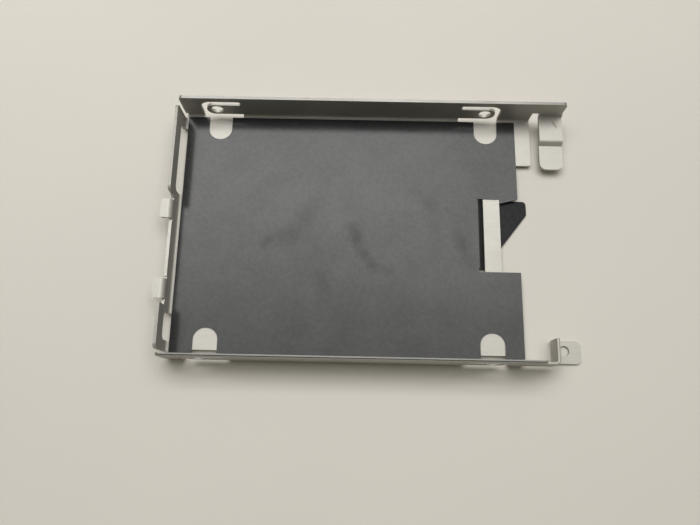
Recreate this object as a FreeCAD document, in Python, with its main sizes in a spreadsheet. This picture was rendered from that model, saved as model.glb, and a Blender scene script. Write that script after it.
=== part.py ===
import FreeCAD, Part
import math
import os
import Sketcher

# Hard drive caddy: a folded sheet-steel tray and the insulating film glued to its floor.
# Millimetres. X runs from the end wall to the open end, Y from the near wall to the far wall, Z up.
# The origin is the middle of the bounding box in X and Y, at the level of the screw foot's underside.

os.makedirs("parts", exist_ok=True)
doc = FreeCAD.newDocument("hard_drive_caddy")

# Driving sizes. Unless a note says otherwise, distances along X start at the end wall's inner face,
# places across the tray start at the near wall's inner face, and heights start at the floor's upper face.
SIZES = [
    ("sheet_thickness", 0.8, "steel sheet"),
    ("bend_radius", 0.6, "inside radius of every fold"),
    ("floor_rise", 0.8, "floor's underside above the foot's underside"),
    ("bay_width", 70.3, "between the inner faces of the long walls"),
    ("floor_length", 95.0, "distance of the floor's free edge"),
    ("wall_height", 9.3, "long walls"),
    ("wall_corner_radius", 1.0, "free upper corners of the long walls"),
    ("edge_roll", 0.45, "rolled outer edge along the top of the near wall"),
    ("corner_gap", 1.2, "slit between the end wall and each long wall"),

    ("hole_distance", 9.7, "first drive screw hole of a wall"),
    ("hole_margin", 8.7, "second drive screw hole to the floor's free edge, 76.6 from the first"),
    ("hole_height", 3.2, "drive screw holes"),
    ("hole_diameter", 3.5, "drive screw holes"),
    ("tongue_low", 0.65, "lower edge of a sprung tongue"),
    ("tongue_high", 5.5, "upper edge of a sprung tongue"),
    ("tongue_reach", 2.9, "tongue's free end past its screw hole"),
    ("tongue_end_radius", 2.2, "corners of the tongue's free end"),
    ("tongue_root", 7.1, "tongue's root past its screw hole"),
    ("slot_high", 7.35, "upper edge of the slot round a tongue"),
    ("slot_reach", 4.25, "slot's outer end past the screw hole"),
    ("slot_radius", 2.9, "upper outer corner of the slot"),
    ("slot_end_radius", 0.6, "closed end of the slot's upper arm"),
    ("slot_floor_cut", 1.8, "slot's cut into the floor, from the wall"),

    ("end_height", 8.4, "tall parts of the end wall"),
    ("end_low_height", 4.5, "low middle of the end wall"),
    ("end_low_start", 13.0, "near end of the low middle"),
    ("end_low_stop", 26.5, "far end of the low middle, from the far wall"),
    ("end_step_radius", 1.2, "rounded step at the far end of the low middle"),
    ("end_corner_radius", 1.2, "outer upper corners of the end wall"),
    ("window_height", 3.85, "upper edge of the windows in the end wall"),
    ("window_radius", 1.7, "upper corners of the windows"),
    ("near_window_start", 4.05, "near end of the near window"),
    ("near_window_width", 7.35, "near window, across the tray"),
    ("far_window_start", 4.7, "far end of the far window, from the far wall"),
    ("far_window_width", 20.2, "far window, across the tray"),
    ("hook_height", 5.5, "upper face of the hook tabs"),
    ("hook_reach", 2.3, "hook tabs past the end wall's outer face"),
    ("hook_width", 5.4, "hook tabs, across the tray"),
    ("hook_radius", 0.6, "free corners of the hook tabs"),
    ("hook_relief", 0.7, "notch on each side of a hook tab"),
    ("near_hook_middle", 17.3, "middle of the near hook tab"),
    ("far_hook_middle", 30.8, "middle of the far hook tab, from the far wall"),

    ("tab_length", 4.75, "floor tab past the floor's free edge"),
    ("tab_width", 14.2, "floor tab, from the far wall"),
    ("tab_radius", 0.7, "free corner of the floor tab"),
    ("relief_width", 2.15, "notch between the floor tab and the far ear"),
    ("relief_height", 4.2, "upper edge of that notch"),
    ("ear_width", 6.6, "far ear, along the wall"),
    ("ear_lip", 0.4, "far ear past the far wall's open end"),
    ("ear_height", 2.5, "upper face of the far ear beside the wall"),
    ("ear_step_start", 7.7, "start of the far ear's step, from the far wall"),
    ("ear_step_run", 0.9, "length of the step"),
    ("ear_step_drop", 1.2, "depth of the step"),
    ("ear_step_radius", 0.3, "inside radius of the step's bends"),
    ("ear_length", 15.75, "far ear's free end, from the far wall"),
    ("ear_corner_radius", 1.9, "free corners of the far ear"),

    ("near_step_distance", 3.8, "near wall's drop past the floor's free edge"),
    ("near_step_radius", 0.8, "corners of that drop"),
    ("flange_distance", 7.5, "turned-in flange's inner face past the floor's free edge"),
    ("flange_height", 5.0, "upper edge of the flange"),
    ("foot_length", 8.1, "foot's free edge past the flange's inner face"),
    ("foot_near_edge", 0.1, "near edge of the foot"),
    ("foot_far_edge", 6.2, "far edge of the foot and the flange"),
    ("foot_radius", 1.5, "free corners of the foot"),
    ("foot_hole_distance", 3.6, "foot's screw hole past the flange's inner face"),
    ("foot_hole_place", 3.5, "foot's screw hole across the tray"),
    ("foot_hole_diameter", 2.8, "foot's screw hole"),

    ("pull_depth", 4.75, "pull notch in the floor, from its free edge"),
    ("bar_width", 4.55, "floor bar between the slit and the pull notch"),
    ("slit_width", 1.75, "slit in the floor, along X"),
    ("pull_near_edge", 24.55, "near edge of the film's pull notch"),
    ("pull_far_edge", 45.7, "far edge of the film's pull notch"),

    ("film_thickness", 0.25, "insulating film"),
    ("film_margin", 0.95, "film's edges to the walls, and the windows' cut into the floor"),
    ("film_overhang", 0.4, "film past the floor's free edges"),
    ("film_notch_shift", 0.7, "film's round-ended notches past the screw holes"),
    ("film_notch_width", 6.6, "round-ended notches"),
    ("film_notch_depth", 7.75, "tips of those notches, from the walls"),
    ("film_notch_flat", 0.1, "short straight on each side of a notch's tip"),
    ("film_corner_radius", 0.25, "film's free corners at the pull notch"),
    ("film_edge_drop", 1.3, "pull notch's far edge, lower beside the bar than at the film's free edge"),
    ("pull_near_gap", 1.05, "between the pull tongue and the pull notch's near edge"),
    ("pull_far_gap", 0.1, "between the pull tongue and the pull notch's far edge"),
    ("pull_clearance", 0.1, "between the pull tongue and the floor it passes"),
    ("pull_tip", 3.05, "tip of the pull tongue past the floor's free edge"),
    ("pull_tip_drop", 0.4, "tip of the pull tongue, lower than where it leaves the bar"),
    ("pull_tip_near", 41.55, "near corner of the tip"),
    ("pull_tip_radius", 1.0, "far corner of the tip"),
]

sizes = doc.addObject("Spreadsheet::Sheet", "sizes")
for row, (alias, value, note) in enumerate(SIZES, start=1):
    sizes.set(f"A{row}", alias)
    sizes.set(f"B{row}", str(value))
    sizes.set(f"C{row}", note)
    sizes.setAlias(f"B{row}", alias)
doc.recompute()

# Places that several features share, as expressions in the sizes above.
THICK = "sizes.sheet_thickness"
BEND = "sizes.bend_radius"
OUTER_BEND = f"({BEND} + {THICK})"
FLOOR_UNDER = "sizes.floor_rise"
FLOOR_TOP = f"({FLOOR_UNDER} + {THICK})"
WALL_TOP = f"({FLOOR_TOP} + sizes.wall_height)"
WALL_FLAT = f"({FLOOR_TOP} + {BEND})"
FAR = "(sizes.bay_width / 2)"
NEAR = f"(0 - {FAR})"
FAR_OUT = f"({FAR} + {THICK})"
NEAR_OUT = f"({NEAR} - {THICK})"
OPEN_LENGTH = "(sizes.floor_length + sizes.flange_distance + sizes.foot_length)"
END_FACE = f"(({THICK} + sizes.hook_reach - {OPEN_LENGTH}) / 2)"
END_OUT = f"({END_FACE} - {THICK})"
FOLD = f"({END_FACE} + {BEND})"
FLOOR_END = f"({END_FACE} + sizes.floor_length)"


def along(name):
    """Place along X of a distance from the end wall."""
    return f"({END_FACE} + sizes.{name})"


def past(name):
    """Place along X of a distance past the floor's free edge."""
    return f"({FLOOR_END} + sizes.{name})"


def across(name):
    """Place along Y of a distance from the near wall."""
    return f"({NEAR} + sizes.{name})"


def back(name):
    """Place along Y of a distance from the far wall."""
    return f"({FAR} - sizes.{name})"


def above(name):
    """Place along Z of a height over the floor's upper face."""
    return f"({FLOOR_TOP} + sizes.{name})"


def new_sketch(body, name, plane, offset):
    """Sketch on an origin plane of the body, moved along the plane's normal."""
    planes = {feature.Role: feature for feature in body.Origin.OriginFeatures}
    sketch = body.newObject("Sketcher::SketchObject", name)
    sketch.AttachmentSupport = [(planes[plane], "")]
    sketch.MapMode = "FlatFace"
    sketch.setExpression("AttachmentOffset.Base.z", offset)
    return sketch


def plan_sketch(body, name, level):
    """Sketch seen from above, in X and Y. Its normal is +Z."""
    return new_sketch(body, name, "XY_Plane", level)


def side_sketch(body, name, place):
    """Sketch seen from the near side, in X and Z. Its normal is -Y."""
    return new_sketch(body, name, "XZ_Plane", f"0 - {place}")


def cross_sketch(body, name, place):
    """Sketch seen along the tray, in Y and Z. Its normal is +X."""
    return new_sketch(body, name, "YZ_Plane", place)


def bind(sketch, kind, *where, to):
    """Dimension that takes its value from an expression."""
    number = sketch.addConstraint(Sketcher.Constraint(kind, *where, sketch.evalExpression(to)))
    sketch.setExpression(f"Constraints[{number}]", to)


def add_loop(sketch, corners):
    """Closed outline through corners given as (u, v) or (u, v, radius) expressions.

    A corner with a radius is a construction point on both of its lines, and a tangent arc joins them there.
    """
    count = len(corners)
    spots = [FreeCAD.Vector(sketch.evalExpression(c[0]), sketch.evalExpression(c[1]), 0) for c in corners]
    arrive = []
    leave = []
    rounds = {}
    for i, corner in enumerate(corners):
        spot = spots[i]
        if len(corner) == 2:
            arrive.append(spot)
            leave.append(spot)
            continue
        to_last = (spots[i - 1] - spot).normalize()
        to_next = (spots[(i + 1) % count] - spot).normalize()
        half = to_last.getAngle(to_next) / 2
        radius = sketch.evalExpression(corner[2])
        arrive.append(spot + to_last * (radius / math.tan(half)))
        leave.append(spot + to_next * (radius / math.tan(half)))
        centre = spot + (to_last + to_next).normalize() * (radius / math.sin(half))
        left_turn = to_last.cross(to_next).z < 0
        rounds[i] = (centre, radius, left_turn)

    lines = []
    for i in range(count):
        lines.append(sketch.addGeometry(Part.LineSegment(leave[i], arrive[(i + 1) % count])))
    for i, corner in enumerate(corners):
        before = lines[i - 1]
        after = lines[i]
        if i not in rounds:
            sketch.addConstraint(Sketcher.Constraint("Coincident", before, 2, after, 1))
            bind(sketch, "DistanceX", after, 1, to=corner[0])
            bind(sketch, "DistanceY", after, 1, to=corner[1])
            continue
        centre, radius, left_turn = rounds[i]
        first, last = (arrive[i], leave[i]) if left_turn else (leave[i], arrive[i])
        turn_first = math.atan2(first.y - centre.y, first.x - centre.x)
        turn_last = math.atan2(last.y - centre.y, last.x - centre.x)
        circle = Part.Circle(centre, FreeCAD.Vector(0, 0, 1), radius)
        arc = sketch.addGeometry(Part.ArcOfCircle(circle, turn_first, turn_last))
        point = sketch.addGeometry(Part.Point(spots[i]), True)
        bind(sketch, "DistanceX", point, 1, to=corner[0])
        bind(sketch, "DistanceY", point, 1, to=corner[1])
        sketch.addConstraint(Sketcher.Constraint("PointOnObject", point, 1, before))
        sketch.addConstraint(Sketcher.Constraint("PointOnObject", point, 1, after))
        arc_in, arc_out = (1, 2) if left_turn else (2, 1)
        sketch.addConstraint(Sketcher.Constraint("Tangent", before, 2, arc, arc_in))
        sketch.addConstraint(Sketcher.Constraint("Tangent", arc, arc_out, after, 1))
        bind(sketch, "Radius", arc, to=corner[2])


def add_circle(sketch, u, v, diameter):
    """Circle whose centre and diameter are expressions."""
    centre = FreeCAD.Vector(sketch.evalExpression(u), sketch.evalExpression(v), 0)
    circle = Part.Circle(centre, FreeCAD.Vector(0, 0, 1), sketch.evalExpression(diameter) / 2)
    number = sketch.addGeometry(circle)
    bind(sketch, "DistanceX", number, 3, to=u)
    bind(sketch, "DistanceY", number, 3, to=v)
    bind(sketch, "Diameter", number, to=diameter)


def volume(body):
    """Volume of the body so far."""
    return 0.0 if body.Tip is None or body.Tip.Shape.isNull() else body.Tip.Shape.Volume


def pad(body, sketch, length, turned=False):
    """Adds a sketch's outline over a length, along the sketch's normal unless turned."""
    doc.recompute()
    before = volume(body)
    feature = body.newObject("PartDesign::Pad", f"{sketch.Name}_pad")
    feature.Profile = sketch
    feature.Reversed = turned
    feature.setExpression("Length", length)
    doc.recompute()
    if not feature.Shape.isValid() or feature.Shape.Volume <= before:
        raise RuntimeError(f"{feature.Name} adds nothing")


def cut(body, sketch, turned=False):
    """Cuts a sketch's outline right through, against the sketch's normal unless turned."""
    doc.recompute()
    before = volume(body)
    feature = body.newObject("PartDesign::Pocket", f"{sketch.Name}_cut")
    feature.Profile = sketch
    feature.Type = "ThroughAll"
    feature.Reversed = turned
    doc.recompute()
    if not feature.Shape.isValid() or feature.Shape.Volume >= before:
        raise RuntimeError(f"{feature.Name} cuts nothing")


def round_edges(body, name, middles, radius):
    """Fillets the edges whose middles are nearest to the places given as (x, y, z) expressions."""
    base = body.Tip
    chosen = []
    for middle in middles:
        place = FreeCAD.Vector(*[base.evalExpression(part) for part in middle])
        gaps = [(edge.CenterOfMass - place).Length for edge in base.Shape.Edges]
        chosen.append(f"Edge{gaps.index(min(gaps)) + 1}")
    feature = body.newObject("PartDesign::Fillet", name)
    feature.Base = (base, chosen)
    feature.setExpression("Radius", radius)
    doc.recompute()


# Tray
tray = doc.addObject("PartDesign::Body", "tray")

# Floor and the two long walls, folded up from it.
channel = cross_sketch(tray, "channel", FOLD)
add_loop(channel, [
    (NEAR_OUT, WALL_TOP),
    (NEAR_OUT, FLOOR_UNDER, OUTER_BEND),
    (FAR_OUT, FLOOR_UNDER, OUTER_BEND),
    (FAR_OUT, WALL_TOP),
    (FAR, WALL_TOP),
    (FAR, FLOOR_TOP, BEND),
    (NEAR, FLOOR_TOP, BEND),
    (NEAR, WALL_TOP),
])
pad(tray, channel, f"sizes.floor_length - {BEND}")

# Short flat ends of the long walls beside the end wall, clear of the fold.
for side, inner in (("far", FAR_OUT), ("near", NEAR)):
    wall_end = side_sketch(tray, f"{side}_wall_end", inner)
    add_loop(wall_end, [
        (END_FACE, WALL_FLAT),
        (f"{FOLD} + {THICK}", WALL_FLAT),
        (f"{FOLD} + {THICK}", WALL_TOP),
        (END_FACE, WALL_TOP),
    ])
    pad(tray, wall_end, THICK)

# End wall: its fold, then its flat part with the low middle.
END_WALL_FAR = f"({FAR} - sizes.corner_gap)"
END_WALL_NEAR = f"({NEAR} + sizes.corner_gap)"
end_fold = side_sketch(tray, "end_fold", END_WALL_FAR)
add_loop(end_fold, [
    (f"{FOLD} + {THICK}", FLOOR_UNDER),
    (f"{FOLD} + {THICK}", FLOOR_TOP),
    (END_FACE, FLOOR_TOP, BEND),
    (END_FACE, f"{WALL_FLAT} + {THICK}"),
    (END_OUT, f"{WALL_FLAT} + {THICK}"),
    (END_OUT, FLOOR_UNDER, OUTER_BEND),
])
pad(tray, end_fold, "sizes.bay_width - 2 * sizes.corner_gap")

end_wall = cross_sketch(tray, "end_wall", END_OUT)
add_loop(end_wall, [
    (END_WALL_NEAR, WALL_FLAT),
    (END_WALL_FAR, WALL_FLAT),
    (END_WALL_FAR, above("end_height"), "sizes.end_corner_radius"),
    (back("end_low_stop"), above("end_height"), "sizes.end_step_radius"),
    (back("end_low_stop"), above("end_low_height"), "sizes.end_step_radius"),
    (across("end_low_start"), above("end_low_height")),
    (across("end_low_start"), above("end_height")),
    (END_WALL_NEAR, above("end_height"), "sizes.end_corner_radius"),
])
pad(tray, end_wall, THICK)

# Windows through the foot of the end wall, its fold and the edge of the floor.
windows = cross_sketch(tray, "windows", along("film_margin"))
for start, stop in (
    (across("near_window_start"), f"{across('near_window_start')} + sizes.near_window_width"),
    (f"{back('far_window_start')} - sizes.far_window_width", back("far_window_start")),
):
    add_loop(windows, [
        (start, "0"),
        (stop, "0"),
        (stop, above("window_height"), "sizes.window_radius"),
        (start, above("window_height"), "sizes.window_radius"),
    ])
cut(tray, windows)

# Hook tabs, bent outward from notches in the low middle of the end wall.
HOOK_TOP = above("hook_height")
HOOK_ROOT = f"({HOOK_TOP} - {OUTER_BEND})"
HOOK_TIP = f"({END_OUT} - sizes.hook_reach)"
for side, middle in (("near", across("near_hook_middle")), ("far", back("far_hook_middle"))):
    hook_near = f"({middle} - sizes.hook_width / 2)"
    hook_far = f"({middle} + sizes.hook_width / 2)"
    hook_notch = cross_sketch(tray, f"{side}_hook_notch", FOLD)
    add_loop(hook_notch, [
        (f"{hook_near} - sizes.hook_relief", HOOK_ROOT),
        (f"{hook_far} + sizes.hook_relief", HOOK_ROOT),
        (f"{hook_far} + sizes.hook_relief", HOOK_TOP),
        (f"{hook_near} - sizes.hook_relief", HOOK_TOP),
    ])
    cut(tray, hook_notch)
    hook = side_sketch(tray, f"{side}_hook", hook_far)
    add_loop(hook, [
        (END_FACE, f"{HOOK_ROOT} - {THICK}"),
        (END_FACE, HOOK_TOP, OUTER_BEND),
        (HOOK_TIP, HOOK_TOP),
        (HOOK_TIP, f"{HOOK_TOP} - {THICK}"),
        (END_OUT, f"{HOOK_TOP} - {THICK}", BEND),
        (END_OUT, f"{HOOK_ROOT} - {THICK}"),
    ])
    pad(tray, hook, "sizes.hook_width")
    hook_level = f"{HOOK_TOP} - {THICK} / 2"
    round_edges(tray, f"{side}_hook_corners", [
        (HOOK_TIP, hook_near, hook_level),
        (HOOK_TIP, hook_far, hook_level),
    ], "sizes.hook_radius")

# Floor tab at the open end of the far wall.
TAB_END = past("tab_length")
TAB_EDGE = back("tab_width")
floor_tab = cross_sketch(tray, "floor_tab", FLOOR_END)
add_loop(floor_tab, [
    (TAB_EDGE, FLOOR_UNDER),
    (FAR_OUT, FLOOR_UNDER, OUTER_BEND),
    (FAR_OUT, WALL_TOP),
    (FAR, WALL_TOP),
    (FAR, FLOOR_TOP, BEND),
    (TAB_EDGE, FLOOR_TOP),
])
pad(tray, floor_tab, "sizes.tab_length")
round_edges(tray, "floor_tab_corner", [
    (TAB_END, TAB_EDGE, f"{FLOOR_UNDER} + {THICK} / 2"),
], "sizes.tab_radius")

# Open end of the far wall, with a notch between the floor tab and the ear.
EAR_START = f"({TAB_END} + sizes.relief_width)"
EAR_STOP = f"({EAR_START} + sizes.ear_width)"
WALL_STOP = f"({EAR_STOP} - sizes.ear_lip)"
EAR_TOP = above("ear_height")
far_wall_open = side_sketch(tray, "far_wall_open", FAR_OUT)
add_loop(far_wall_open, [
    (TAB_END, above("relief_height")),
    (EAR_START, above("relief_height")),
    (EAR_START, f"{EAR_TOP} + {BEND}"),
    (WALL_STOP, f"{EAR_TOP} + {BEND}"),
    (WALL_STOP, WALL_TOP),
    (TAB_END, WALL_TOP),
])
pad(tray, far_wall_open, THICK)

# Far ear: folded in from the wall's lower edge, then stepped down.
# The step's underside lies nearer to the wall, so the sheet keeps its thickness on the slope.
EAR_UNDER = f"({EAR_TOP} - {THICK})"
EAR_LOW_TOP = f"({EAR_TOP} - sizes.ear_step_drop)"
EAR_LOW_UNDER = f"({EAR_UNDER} - sizes.ear_step_drop)"
EAR_SLOPE = "sqrt(sizes.ear_step_run ^ 2 + sizes.ear_step_drop ^ 2)"
EAR_LEAN = f"{THICK} * sizes.ear_step_drop / (sizes.ear_step_run + {EAR_SLOPE})"
EAR_STEP = back("ear_step_start")
EAR_STEP_END = f"({EAR_STEP} - sizes.ear_step_run)"
STEP_INSIDE = "sizes.ear_step_radius"
STEP_OUTSIDE = f"({STEP_INSIDE} + {THICK})"
EAR_TIP = back("ear_length")
far_ear = cross_sketch(tray, "far_ear", EAR_START)
add_loop(far_ear, [
    (FAR_OUT, f"{EAR_TOP} + {OUTER_BEND}"),
    (FAR, f"{EAR_TOP} + {OUTER_BEND}"),
    (FAR, EAR_TOP, BEND),
    (EAR_STEP, EAR_TOP, STEP_OUTSIDE),
    (EAR_STEP_END, EAR_LOW_TOP, STEP_INSIDE),
    (EAR_TIP, EAR_LOW_TOP),
    (EAR_TIP, EAR_LOW_UNDER),
    (f"{EAR_STEP_END} + {EAR_LEAN}", EAR_LOW_UNDER, STEP_OUTSIDE),
    (f"{EAR_STEP} + {EAR_LEAN}", EAR_UNDER, STEP_INSIDE),
    (FAR_OUT, EAR_UNDER, OUTER_BEND),
])
pad(tray, far_ear, "sizes.ear_width")
ear_level = f"{EAR_LOW_UNDER} + {THICK} / 2"
round_edges(tray, "far_ear_corners", [
    (EAR_START, EAR_TIP, ear_level),
    (EAR_STOP, EAR_TIP, ear_level),
], "sizes.ear_corner_radius")

# Open end of the near wall: it drops, turns in as a flange, and ends in a foot with a screw hole.
FLANGE = past("flange_distance")
FLANGE_OUT = f"({FLANGE} + {THICK})"
FLANGE_TOP = above("flange_height")
near_wall_open = side_sketch(tray, "near_wall_open", NEAR)
add_loop(near_wall_open, [
    (FLOOR_END, WALL_FLAT),
    (f"{FLANGE} - {BEND}", WALL_FLAT),
    (f"{FLANGE} - {BEND}", FLANGE_TOP),
    (past("near_step_distance"), FLANGE_TOP, "sizes.near_step_radius"),
    (past("near_step_distance"), WALL_TOP, "sizes.near_step_radius"),
    (FLOOR_END, WALL_TOP),
])
pad(tray, near_wall_open, THICK)

flange_turn = plan_sketch(tray, "flange_turn", WALL_FLAT)
add_loop(flange_turn, [
    (f"{FLANGE} - {OUTER_BEND}", NEAR_OUT),
    (FLANGE_OUT, NEAR_OUT, OUTER_BEND),
    (FLANGE_OUT, f"{NEAR} + {OUTER_BEND}"),
    (FLANGE, f"{NEAR} + {OUTER_BEND}"),
    (FLANGE, NEAR, BEND),
    (f"{FLANGE} - {OUTER_BEND}", NEAR),
])
pad(tray, flange_turn, f"{FLANGE_TOP} - {WALL_FLAT}")

flange = side_sketch(tray, "flange", across("foot_far_edge"))
add_loop(flange, [
    (FLANGE, FLANGE_TOP),
    (FLANGE, "0", OUTER_BEND),
    (f"{FLANGE_OUT} + {OUTER_BEND}", "0"),
    (f"{FLANGE_OUT} + {OUTER_BEND}", THICK),
    (FLANGE_OUT, THICK, BEND),
    (FLANGE_OUT, FLANGE_TOP),
])
pad(tray, flange, f"sizes.foot_far_edge - {BEND}")

FOOT_END = f"({FLANGE} + sizes.foot_length)"
foot = plan_sketch(tray, "foot", "0")
add_loop(foot, [
    (f"{FLANGE_OUT} + {BEND}", across("foot_near_edge")),
    (FOOT_END, across("foot_near_edge"), "sizes.foot_radius"),
    (FOOT_END, across("foot_far_edge"), "sizes.foot_radius"),
    (f"{FLANGE_OUT} + {BEND}", across("foot_far_edge")),
])
pad(tray, foot, THICK)

foot_hole = plan_sketch(tray, "foot_hole", THICK)
add_circle(foot_hole, f"{FLANGE} + sizes.foot_hole_distance", across("foot_hole_place"),
           "sizes.foot_hole_diameter")
cut(tray, foot_hole)

# Slots that free a sprung tongue round each drive screw hole, and the holes themselves.
HOLES = (
    (along("hole_distance"), "-"),
    (f"({FLOOR_END} - sizes.hole_margin)", "+"),
)
for side, place, turned in (
    ("far", f"({FAR} - sizes.slot_floor_cut)", False),
    ("near", f"({NEAR} + sizes.slot_floor_cut)", True),
):
    slots = side_sketch(tray, f"{side}_slots", place)
    for hole, outward in HOLES:
        inward = "+" if outward == "-" else "-"
        slot_end = f"{hole} {outward} sizes.slot_reach"
        tongue_end = f"{hole} {outward} sizes.tongue_reach"
        root = f"{hole} {inward} sizes.tongue_root"
        add_loop(slots, [
            (slot_end, "0"),
            (root, "0"),
            (root, above("tongue_low")),
            (tongue_end, above("tongue_low"), "sizes.tongue_end_radius"),
            (tongue_end, above("tongue_high"), "sizes.tongue_end_radius"),
            (root, above("tongue_high"), "sizes.slot_end_radius"),
            (root, above("slot_high"), "sizes.slot_end_radius"),
            (slot_end, above("slot_high"), "sizes.slot_radius"),
        ])
    cut(tray, slots, turned)
    holes = side_sketch(tray, f"{side}_holes", "0")
    for hole, outward in HOLES:
        add_circle(holes, hole, above("hole_height"), "sizes.hole_diameter")
    cut(tray, holes, turned)

# Slit and pull notch in the floor, with the bar left between them.
BAR_END = f"({FLOOR_END} - sizes.pull_depth)"
BAR = f"({BAR_END} - sizes.bar_width)"
SLIT = f"({BAR} - sizes.slit_width)"
floor_cuts = plan_sketch(tray, "floor_cuts", FLOOR_TOP)
add_loop(floor_cuts, [
    (SLIT, across("pull_near_edge")),
    (BAR, across("pull_near_edge")),
    (BAR, across("pull_far_edge")),
    (SLIT, across("pull_far_edge")),
])
add_loop(floor_cuts, [
    (BAR_END, f"{across('pull_near_edge')} - sizes.film_overhang"),
    (f"{FLOOR_END} + {THICK}", f"{across('pull_near_edge')} - sizes.film_overhang"),
    (f"{FLOOR_END} + {THICK}", f"{across('pull_far_edge')} + sizes.film_overhang"),
    (BAR_END, f"{across('pull_far_edge')} + sizes.film_overhang"),
])
cut(tray, floor_cuts)

# Free upper corners of the long walls.
round_edges(tray, "wall_corners", [
    (END_FACE, f"{FAR} + {THICK} / 2", WALL_TOP),
    (END_FACE, f"{NEAR} - {THICK} / 2", WALL_TOP),
    (WALL_STOP, f"{FAR} + {THICK} / 2", WALL_TOP),
], "sizes.wall_corner_radius")

# Rolled outer edge that the stamping leaves along the top of the near wall.
round_edges(tray, "rolled_edge", [
    (f"({END_FACE} + {FLANGE}) / 2", NEAR_OUT, WALL_TOP),
], "sizes.edge_roll")

# Insulating film: the pull tongue that passes under the bar, then the sheet it is cut from.
film = doc.addObject("PartDesign::Body", "insulating_film")
FILM = "sizes.film_thickness"
FILM_TOP = f"({FLOOR_TOP} + {FILM})"
UNDER_TOP = f"({FLOOR_UNDER} - sizes.pull_clearance)"
DIP_START = f"({SLIT} + sizes.pull_clearance)"
DIP_END = f"({BAR} - sizes.pull_clearance)"
PULL_TIP = past("pull_tip")
PULL_TIP_TOP = f"({UNDER_TOP} - sizes.pull_tip_drop)"
PULL_NEAR = f"({across('pull_near_edge')} + sizes.pull_near_gap)"
PULL_FAR = f"({across('pull_far_edge')} - sizes.pull_far_gap)"
pull = side_sketch(film, "pull", PULL_FAR)
add_loop(pull, [
    (f"{SLIT} - {THICK}", FLOOR_TOP),
    (DIP_START, FLOOR_TOP),
    (f"{DIP_END} - {FILM} / 2", f"{UNDER_TOP} - {FILM}"),
    (BAR_END, f"{UNDER_TOP} - {FILM}"),
    (PULL_TIP, f"{PULL_TIP_TOP} - {FILM}"),
    (PULL_TIP, PULL_TIP_TOP),
    (BAR_END, UNDER_TOP),
    (DIP_END, UNDER_TOP),
    (f"{DIP_START} + {FILM} / 2", FILM_TOP),
    (f"{SLIT} - {THICK}", FILM_TOP),
])
pad(film, pull, f"{PULL_FAR} - {PULL_NEAR}")

# The tongue tapers to its tip.
pull_taper = plan_sketch(film, "pull_taper", WALL_TOP)
add_loop(pull_taper, [
    (BAR, PULL_NEAR),
    (BAR, f"{PULL_NEAR} - {THICK}"),
    (f"{PULL_TIP} + {THICK}", f"{PULL_NEAR} - {THICK}"),
    (f"{PULL_TIP} + {THICK}", f"{PULL_FAR} + {THICK}"),
    (f"{PULL_TIP} - 2 * sizes.pull_tip_radius", f"{PULL_FAR} + {THICK}"),
    (f"{PULL_TIP} - 2 * sizes.pull_tip_radius", PULL_FAR),
    (PULL_TIP, PULL_FAR, "sizes.pull_tip_radius"),
    (PULL_TIP, across("pull_tip_near")),
])
cut(film, pull_taper)

# Sheet on the floor, with a round-ended notch beside each tongue and the pull notch.
FILM_LEFT = along("film_margin")
FILM_RIGHT = past("film_overhang")
HALF_NOTCH = "sizes.film_notch_width / 2"
NOTCH_ROUND = f"{HALF_NOTCH} - sizes.film_notch_flat"


def film_notch(hole, wall, inward, walk):
    """Corners of one notch, walked in the given direction along the film's edge."""
    middle = f"{hole} + sizes.film_notch_shift"
    edge = f"{wall} {inward} sizes.film_margin"
    tip = f"{wall} {inward} sizes.film_notch_depth"
    first = f"{middle} - {HALF_NOTCH}"
    last = f"{middle} + {HALF_NOTCH}"
    if walk < 0:
        first, last = last, first
    return [(first, edge), (first, tip, NOTCH_ROUND), (last, tip, NOTCH_ROUND), (last, edge)]


FIRST_HOLE, SECOND_HOLE = HOLES[0][0], HOLES[1][0]
film_sheet = plan_sketch(film, "film_sheet", FLOOR_TOP)
add_loop(film_sheet, [
    (FILM_LEFT, f"{NEAR} + sizes.film_margin"),
    *film_notch(FIRST_HOLE, NEAR, "+", 1),
    *film_notch(SECOND_HOLE, NEAR, "+", 1),
    (FILM_RIGHT, f"{NEAR} + sizes.film_margin"),
    (FILM_RIGHT, across("pull_near_edge"), "sizes.film_corner_radius"),
    (SLIT, across("pull_near_edge")),
    (SLIT, across("pull_far_edge")),
    (BAR_END, across("pull_far_edge")),
    (BAR_END, f"{across('pull_far_edge')} - sizes.film_edge_drop"),
    (FILM_RIGHT, across("pull_far_edge"), "sizes.film_corner_radius"),
    (FILM_RIGHT, f"{FAR} - sizes.film_margin"),
    *film_notch(SECOND_HOLE, FAR, "-", -1),
    *film_notch(FIRST_HOLE, FAR, "-", -1),
    (FILM_LEFT, f"{FAR} - sizes.film_margin"),
])
pad(film, film_sheet, FILM)

# Checks and export.
doc.recompute()
for item in doc.Objects:
    if "Invalid" in item.State or "Error" in item.State:
        raise RuntimeError(f"{item.Name} did not compute")
for body in (tray, film):
    body.Label = body.Name
    body.Placement = FreeCAD.Placement()
    if body.Shape.isNull() or not body.Shape.isValid() or len(body.Shape.Solids) != 1:
        raise RuntimeError(f"{body.Name} is not one valid solid")
    body.Shape.exportStep(f"parts/{body.Name}.step")
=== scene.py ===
import math

import bpy
from mathutils import Euler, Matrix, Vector


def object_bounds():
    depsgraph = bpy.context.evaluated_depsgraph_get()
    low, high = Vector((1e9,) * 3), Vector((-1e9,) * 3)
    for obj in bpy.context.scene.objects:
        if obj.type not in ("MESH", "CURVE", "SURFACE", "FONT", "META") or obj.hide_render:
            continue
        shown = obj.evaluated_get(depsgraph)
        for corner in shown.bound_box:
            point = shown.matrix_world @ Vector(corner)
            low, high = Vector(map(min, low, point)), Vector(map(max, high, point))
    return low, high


# Hard drive caddy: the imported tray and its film, dressed and lit as in the photograph.
# Metres. X runs from the end wall to the open end, Y from the near wall to the far wall, Z up.

MM = 0.001

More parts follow.
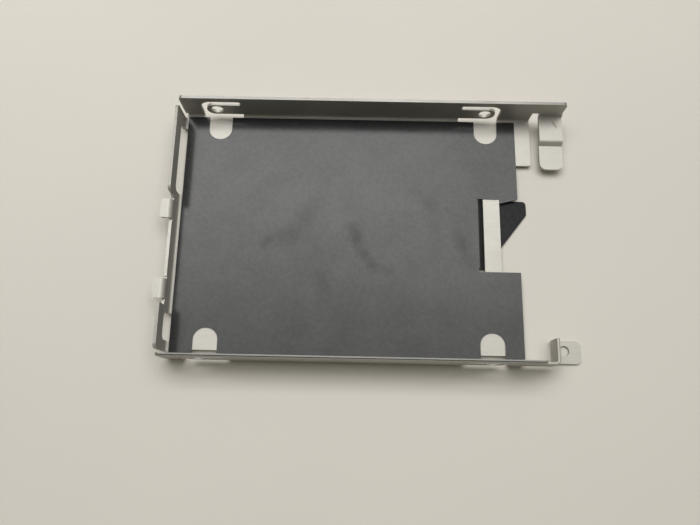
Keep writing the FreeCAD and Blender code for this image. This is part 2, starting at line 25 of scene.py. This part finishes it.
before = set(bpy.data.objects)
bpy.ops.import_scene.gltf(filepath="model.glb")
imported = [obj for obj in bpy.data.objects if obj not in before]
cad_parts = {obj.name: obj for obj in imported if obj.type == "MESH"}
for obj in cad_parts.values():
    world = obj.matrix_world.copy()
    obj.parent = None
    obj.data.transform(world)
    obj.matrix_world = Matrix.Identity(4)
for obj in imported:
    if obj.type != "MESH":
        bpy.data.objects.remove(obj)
cad_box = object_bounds()
scene = bpy.context.scene
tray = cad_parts["tray"]
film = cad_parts["insulating_film"]

# Places that the materials follow, read from the frame.
WALL_TOP = cad_box[1][2]
FILM_LEFT = min(corner[0] for corner in film.bound_box)
FILM_TOP = max(corner[2] for corner in film.bound_box)

# The end wall is what lies left of the film, well inside the long walls.
END_MARGIN = 0.2 * MM
END_HALF_WIDTH = 30.0 * MM


def in_end_wall(spot):
    """Whether a place on the tray is in the end wall."""
    return spot.x < FILM_LEFT - END_MARGIN and abs(spot.y) < END_HALF_WIDTH


END_WALL = [vertex.co for vertex in tray.data.vertices if in_end_wall(vertex.co)]
END_TOP = max(spot.z for spot in END_WALL)
END_REACH = max(spot.x for spot in END_WALL)


# Node helpers

RISING = (0.0, 1.0)
FALLING = (1.0, 0.0)

# Parts of a noise's range: most of it, a narrower part and a wider one.
NOISE_MIDDLE = (0.3, 0.7)
NOISE_CORE = (0.35, 0.65)
NOISE_WIDE = (0.2, 0.8)


def new_material(name):
    """New node material, with its node tree and its shader."""
    material = bpy.data.materials.new(name)
    material.use_nodes = True
    tree = material.node_tree
    shader = tree.nodes["Principled BSDF"]
    return material, tree, shader


def place(tree):
    """Coordinates on the piece itself, in metres."""
    return tree.nodes.new("ShaderNodeTexCoord").outputs["Object"]


def axis(tree, vector, name):
    """One coordinate of a vector."""
    node = tree.nodes.new("ShaderNodeSeparateXYZ")
    tree.links.new(vector, node.inputs["Vector"])
    return node.outputs[name]


def stretched(tree, vector, scale):
    """Coordinates scaled along each axis."""
    node = tree.nodes.new("ShaderNodeMapping")
    node.inputs["Scale"].default_value = scale
    tree.links.new(vector, node.inputs["Vector"])
    return node.outputs["Vector"]


def flattened(tree, vector):
    """Coordinates with no height."""
    return stretched(tree, vector, (1.0, 1.0, 0.0))


def noise(tree, vector, scale=1.0, detail=3.0, rough=0.5, distort=0.0):
    """Soft noise from 0 to 1."""
    node = tree.nodes.new("ShaderNodeTexNoise")
    node.inputs["Scale"].default_value = scale
    node.inputs["Detail"].default_value = detail
    node.inputs["Roughness"].default_value = rough
    node.inputs["Distortion"].default_value = distort
    tree.links.new(vector, node.inputs["Vector"])
    return node.outputs["Fac"]


def shifted(tree, vector, scale, size):
    """Small shifts in X and Y that wander from place to place."""
    node = tree.nodes.new("ShaderNodeTexNoise")
    node.inputs["Scale"].default_value = scale
    tree.links.new(vector, node.inputs["Vector"])
    middle = vectors(tree, "SUBTRACT", node.outputs["Color"], (0.5, 0.5, 0.5))
    return vectors(tree, "MULTIPLY", middle, (2.0 * size, 2.0 * size, 0.0))


def remap(tree, value, span, target, way="SMOOTHSTEP"):
    """Value moved from one span to another, and held at its ends."""
    node = tree.nodes.new("ShaderNodeMapRange")
    node.interpolation_type = way
    for name, number in zip(("From Min", "From Max", "To Min", "To Max"), (*span, *target)):
        node.inputs[name].default_value = number
    tree.links.new(value, node.inputs["Value"])
    return node.outputs["Result"]


def maths(tree, kind, first, second):
    """One operation on two values, each a socket or a number."""
    node = tree.nodes.new("ShaderNodeMath")
    node.operation = kind
    for slot, value in zip(node.inputs, (first, second)):
        if isinstance(value, (int, float)):
            slot.default_value = value
        else:
            tree.links.new(value, slot)
    return node.outputs["Value"]


def vectors(tree, kind, first, second):
    """One operation on two vectors, each a socket or a tuple."""
    node = tree.nodes.new("ShaderNodeVectorMath")
    node.operation = kind
    for slot, value in zip(node.inputs, (first, second)):
        if isinstance(value, tuple):
            slot.default_value = value
        else:
            tree.links.new(value, slot)
    return node.outputs["Value" if kind in ("DOT_PRODUCT", "DISTANCE") else "Vector"]


def mixed(tree, share, first, second):
    """Colour between two colours, each a socket or a tuple."""
    node = tree.nodes.new("ShaderNodeMix")
    node.data_type = "RGBA"
    tree.links.new(share, node.inputs["Factor"])
    colours = [slot for slot in node.inputs if slot.type == "RGBA"]
    for slot, colour in zip(colours, (first, second)):
        if isinstance(colour, tuple):
            slot.default_value = (*colour, 1.0)
        else:
            tree.links.new(colour, slot)
    return [slot for slot in node.outputs if slot.type == "RGBA"][0]


def bumped(tree, shader, height, strength, distance):
    """Bump from a height."""
    node = tree.nodes.new("ShaderNodeBump")
    node.inputs["Strength"].default_value = strength
    node.inputs["Distance"].default_value = distance
    tree.links.new(height, node.inputs["Height"])
    tree.links.new(node.outputs["Normal"], shader.inputs["Normal"])


def streak(tree, flat, start, end, width):
    """Soft line between two places, 1 along its middle and 0 past its width."""
    run = Vector((end[0] - start[0], end[1] - start[1], 0.0))
    away = vectors(tree, "SUBTRACT", flat, (*start, 0.0))
    share = vectors(tree, "DOT_PRODUCT", away, tuple(run / run.length_squared))
    share = remap(tree, share, RISING, RISING, "LINEAR")
    nearest = vectors(tree, "MULTIPLY", share, tuple(run))
    return remap(tree, vectors(tree, "DISTANCE", away, nearest), (0.0, width), FALLING)


# Steel: matt zinc plating with soft clouds, and fine grain and lines along the rolling direction.
# The cut edges along the tops of the long walls are bare, darker and shinier. The end wall's is only darker.

PLATING_DARK = (0.450, 0.4375, 0.4045)
PLATING_PALE = (0.520, 0.5055, 0.4695)
BARE_STEEL = (0.16, 0.157, 0.149)
CLOUD_SHARE = 0.7
LINES_SHARE = 0.3
GRAIN_STRETCH = (250.0, 3000.0, 3000.0)
LINES_STRETCH = (60.0, 1300.0, 1300.0)
GRAIN_DEPTH = 0.04 * MM
PLATED_METAL = 0.5
BARE_METAL = 1.0
PLATING_ROUGH = (0.46, 0.54)
GRAIN_ROUGH = (-0.03, 0.03)
EDGE_POLISH = 0.24
EDGE_START = 0.1 * MM
EDGE_FULL = 0.02 * MM
END_EDGE_SHARE = 0.4
END_EDGE_FADE = 0.05 * MM
FACING_UP = (0.5, 0.9)

# Brown scuff on the far ear: half-width, and the places in X and Y that it runs through.
SCUFF_BROWN = (0.33, 0.29, 0.265)
SCUFF_WIDTH = 0.6 * MM
SCUFF = ((0.0521, 0.0335), (0.0526, 0.0327), (0.0531, 0.0319))


def top_edge(tree, level, top):
    """1 on the cut edge at the top of a wall, 0 a little below it."""
    return remap(tree, level, (top - EDGE_START, top - EDGE_FULL), RISING)


def end_wall_edge(tree, spot, level):
    """Share of bare steel along the end wall's top."""
    share = maths(tree, "MULTIPLY", top_edge(tree, level, END_TOP), END_EDGE_SHARE)
    inside = remap(tree, axis(tree, spot, "X"), (END_REACH, END_REACH + END_EDGE_FADE), FALLING)
    facing = axis(tree, tree.nodes.new("ShaderNodeNewGeometry").outputs["Normal"], "Z")
    upward = remap(tree, facing, FACING_UP, RISING)
    return maths(tree, "MULTIPLY", share, maths(tree, "MULTIPLY", inside, upward))


def make_steel():
    material, tree, shader = new_material("zinc_plated_steel")
    spot = place(tree)
    level = axis(tree, spot, "Z")
    cloud = noise(tree, spot, scale=70.0, detail=4.0, rough=0.55, distort=0.4)
    grain = noise(tree, stretched(tree, spot, GRAIN_STRETCH), rough=0.6)
    lines = noise(tree, stretched(tree, spot, LINES_STRETCH), rough=0.6)
    long_edge = top_edge(tree, level, WALL_TOP)

    clouded = remap(tree, cloud, NOISE_MIDDLE, (0.0, CLOUD_SHARE))
    lined = remap(tree, lines, NOISE_MIDDLE, (0.0, LINES_SHARE))
    colour = mixed(tree, maths(tree, "ADD", clouded, lined), PLATING_DARK, PLATING_PALE)
    flat = flattened(tree, spot)
    for start, end in zip(SCUFF, SCUFF[1:]):
        colour = mixed(tree, streak(tree, flat, start, end, SCUFF_WIDTH), colour, SCUFF_BROWN)
    bare = maths(tree, "MAXIMUM", long_edge, end_wall_edge(tree, spot, level))
    tree.links.new(mixed(tree, bare, colour, BARE_STEEL), shader.inputs["Base Color"])

    metal = remap(tree, long_edge, RISING, (PLATED_METAL, BARE_METAL))
    tree.links.new(metal, shader.inputs["Metallic"])
    shader.inputs["Specular IOR Level"].default_value = 0.3
    shader.inputs["Specular Tint"].default_value = (0.5, 0.5, 0.5, 1.0)
    plated = remap(tree, cloud, NOISE_MIDDLE, PLATING_ROUGH)
    grained = remap(tree, grain, NOISE_WIDE, GRAIN_ROUGH)
    polish = maths(tree, "MULTIPLY", long_edge, EDGE_POLISH)
    rough = maths(tree, "SUBTRACT", maths(tree, "ADD", plated, grained), polish)
    tree.links.new(rough, shader.inputs["Roughness"])
    bumped(tree, shader, grain, strength=0.12, distance=GRAIN_DEPTH)
    return material


# Film: smooth and black, with a soft sheen that is weaker in the smears and below the floor's upper face.
# It waves a little all over, and its left edge droops.

FILM_DARK = (0.0240, 0.0245, 0.0262)
FILM_PALE = (0.0310, 0.0315, 0.0332)
FILM_ROUGH = (0.20, 0.225)
FILM_SHEEN = 0.386
LOW_SHEEN = 0.05
LOW_BAND = (FILM_TOP - 0.65 * MM, FILM_TOP - 0.25 * MM)
MOTTLE_SHEEN = (0.96, 1.04)
CLOUD_SHEEN = (-0.06, 0.06)
WAVE_HEIGHT = 0.09 * MM
DROOP_HEIGHT = 0.2 * MM
DROOP_BAND = (FILM_LEFT - 1.0 * MM, FILM_LEFT + 3.4 * MM)

# Smears that handling left on the film: depth, half-width, and the places in X and Y that each
# runs through.
SMEAR_LOSS = 0.25
SMEAR_WANDER = 1.5 * MM
SMEARS = (
    (1.0, 0.0030, ((-0.0048, 0.0013), (-0.0036, -0.0022))),
    (0.6, 0.0028, ((-0.0036, -0.0022), (-0.0016, -0.0062), (0.0012, -0.0096), (0.0056, -0.0110))),
    (0.45, 0.0048, ((-0.0280, -0.0036), (-0.0220, -0.0008), (-0.0178, 0.0040), (-0.0145, 0.0085))),
    (0.8, 0.0018, ((-0.0291, -0.0039), (-0.0275, -0.0030))),
    (0.65, 0.0034, ((-0.0138, -0.0130), (-0.0121, -0.0152))),
    (0.65, 0.0034, ((0.0242, 0.0001), (0.0261, -0.0033), (0.0279, -0.0079))),
    (0.3, 0.0036, ((0.0126, 0.0123), (0.0165, 0.0085), (0.0181, 0.0026), (0.0180, -0.0061))),
)


def make_film():
    material, tree, shader = new_material("black_film")
    spot = place(tree)
    mottle = noise(tree, spot, scale=900.0, rough=0.6)
    cloud = noise(tree, spot, scale=90.0, distort=0.6)
    colour = mixed(tree, remap(tree, mottle, NOISE_MIDDLE, RISING), FILM_DARK, FILM_PALE)
    tree.links.new(colour, shader.inputs["Base Color"])

    mottled = remap(tree, mottle, NOISE_MIDDLE, MOTTLE_SHEEN)
    clouded = remap(tree, cloud, NOISE_CORE, CLOUD_SHEEN)
    worn = maths(tree, "ADD", mottled, clouded)
    wander = shifted(tree, spot, scale=250.0, size=SMEAR_WANDER)
    flat = vectors(tree, "ADD", flattened(tree, spot), wander)
    for depth, width, places in SMEARS:
        for start, end in zip(places, places[1:]):
            smear = streak(tree, flat, start, end, width)
            kept = remap(tree, smear, RISING, (1.0, 1.0 - SMEAR_LOSS * depth), "LINEAR")
            worn = maths(tree, "MULTIPLY", worn, kept)
    sheen = remap(tree, axis(tree, spot, "Z"), LOW_BAND, (LOW_SHEEN, FILM_SHEEN))
    tree.links.new(maths(tree, "MULTIPLY", sheen, worn), shader.inputs["Specular IOR Level"])
    tree.links.new(remap(tree, cloud, NOISE_CORE, FILM_ROUGH), shader.inputs["Roughness"])

    ripple = noise(tree, spot, scale=25.0, detail=1.0, rough=0.4)
    wave = maths(tree, "MULTIPLY", ripple, WAVE_HEIGHT)
    droop = remap(tree, axis(tree, spot, "X"), DROOP_BAND, (0.0, DROOP_HEIGHT))
    bumped(tree, shader, maths(tree, "ADD", wave, droop), strength=1.0, distance=1.0)
    return material


# Table: pale and matt, with faint clouds.

TABLE_DARK = (0.685, 0.655, 0.605)
TABLE_PALE = (0.715, 0.685, 0.630)
TABLE_HALF = 1.5
TABLE_GAP = 0.02 * MM


def make_table():
    material, tree, shader = new_material("pale_table")
    cloud = noise(tree, place(tree), scale=6.0)
    colour = mixed(tree, remap(tree, cloud, NOISE_MIDDLE, RISING), TABLE_DARK, TABLE_PALE)
    tree.links.new(colour, shader.inputs["Base Color"])
    shader.inputs["Roughness"].default_value = 0.7
    shader.inputs["Specular IOR Level"].default_value = 0.2
    return material


def dress(piece, material):
    """Gives a piece one material."""
    piece.data.materials.clear()
    piece.data.materials.append(material)


dress(tray, make_steel())
dress(film, make_film())

# Stage: the table lies a hair under the foot, so that no two faces share a plane.
corners = [(TABLE_HALF * x, TABLE_HALF * y, 0.0) for x, y in ((-1, -1), (1, -1), (1, 1), (-1, 1))]
mesh = bpy.data.meshes.new("table")
mesh.from_pydata(corners, [], [(0, 1, 2, 3)])
table = bpy.data.objects.new("table", mesh)
table.location.z = cad_box[0][2] - TABLE_GAP
scene.collection.objects.link(table)
dress(table, make_table())

# Room: dim, and brighter to the right and to the back. Low down, the camera and the reflections see it
# pale. Bands are along X, Y and Z of the direction looked in.

ROOM_COLOUR = (1.0, 0.98, 0.84, 1.0)
EVERY_WAY = (-1.0, 1.0)
GLOW_ACROSS = (0.05, 0.25)
GLOW_ALONG = (-0.05, 0.15)
PALE_ROOM = 0.6
PALE_BAND = (0.15, 0.40)


def light_room():
    world = bpy.data.worlds.new("room")
    scene.world = world
    world.use_nodes = True
    tree = world.node_tree
    background = tree.nodes["Background"]
    background.inputs["Color"].default_value = ROOM_COLOUR
    way = tree.nodes.new("ShaderNodeTexCoord").outputs["Generated"]
    across = remap(tree, axis(tree, way, "X"), EVERY_WAY, GLOW_ACROSS)
    along = remap(tree, axis(tree, way, "Y"), EVERY_WAY, GLOW_ALONG)
    glow = maths(tree, "ADD", across, along)

    ray = tree.nodes.new("ShaderNodeLightPath")
    seen = maths(tree, "MAXIMUM", ray.outputs["Is Camera Ray"], ray.outputs["Is Glossy Ray"])
    seen = maths(tree, "MAXIMUM", seen, ray.outputs["Is Transmission Ray"])
    low = remap(tree, axis(tree, way, "Z"), PALE_BAND, FALLING)
    lift = maths(tree, "SUBTRACT", PALE_ROOM, glow)
    shown = maths(tree, "MULTIPLY", maths(tree, "MULTIPLY", seen, low), lift)
    tree.links.new(maths(tree, "ADD", glow, shown), background.inputs["Strength"])


# Soft panels above the tray, mostly towards the back.

PANEL_COLOUR = (1.0, 0.99, 0.975)


def panel(name, height, west, east, south, north, radiance):
    """Soft light facing straight down. Its edges are angles from straight above the tray, in degrees."""
    edges = [height * math.tan(math.radians(angle)) for angle in (west, east, south, north)]
    left, right, front, back = edges
    data = bpy.data.lights.new(name, "AREA")
    data.shape = "RECTANGLE"
    data.size = right - left
    data.size_y = back - front
    data.energy = math.pi * data.size * data.size_y * radiance
    data.color = PANEL_COLOUR
    lamp = bpy.data.objects.new(name, data)
    lamp.location = ((left + right) / 2, (front + back) / 2, height)
    scene.collection.objects.link(lamp)


light_room()
panel("wide_panel", height=1.6, west=-33, east=34, south=-1.5, north=37, radiance=2.2)
panel("middle_panel", height=0.41, west=-38, east=24, south=8, north=35, radiance=1.6)
panel("far_panel", height=0.40, west=-40, east=12, south=17.5, north=35, radiance=1.2)

# Camera at the photograph's angle, fitted to the edges in it.
lens = bpy.data.cameras.new("camera")
lens.sensor_width = 36.0
lens.lens = 31.007
lens.shift_x = 0.00433
lens.shift_y = 0.01182
lens.clip_start = 0.01
camera = bpy.data.objects.new("camera", lens)
camera.location = (-0.005173, -0.049995, 0.162005)
camera.rotation_euler = Euler((0.238714, -0.000298, 0.020416), "XYZ")
scene.collection.objects.link(camera)
scene.camera = camera
scene.view_settings.view_transform = "Standard"
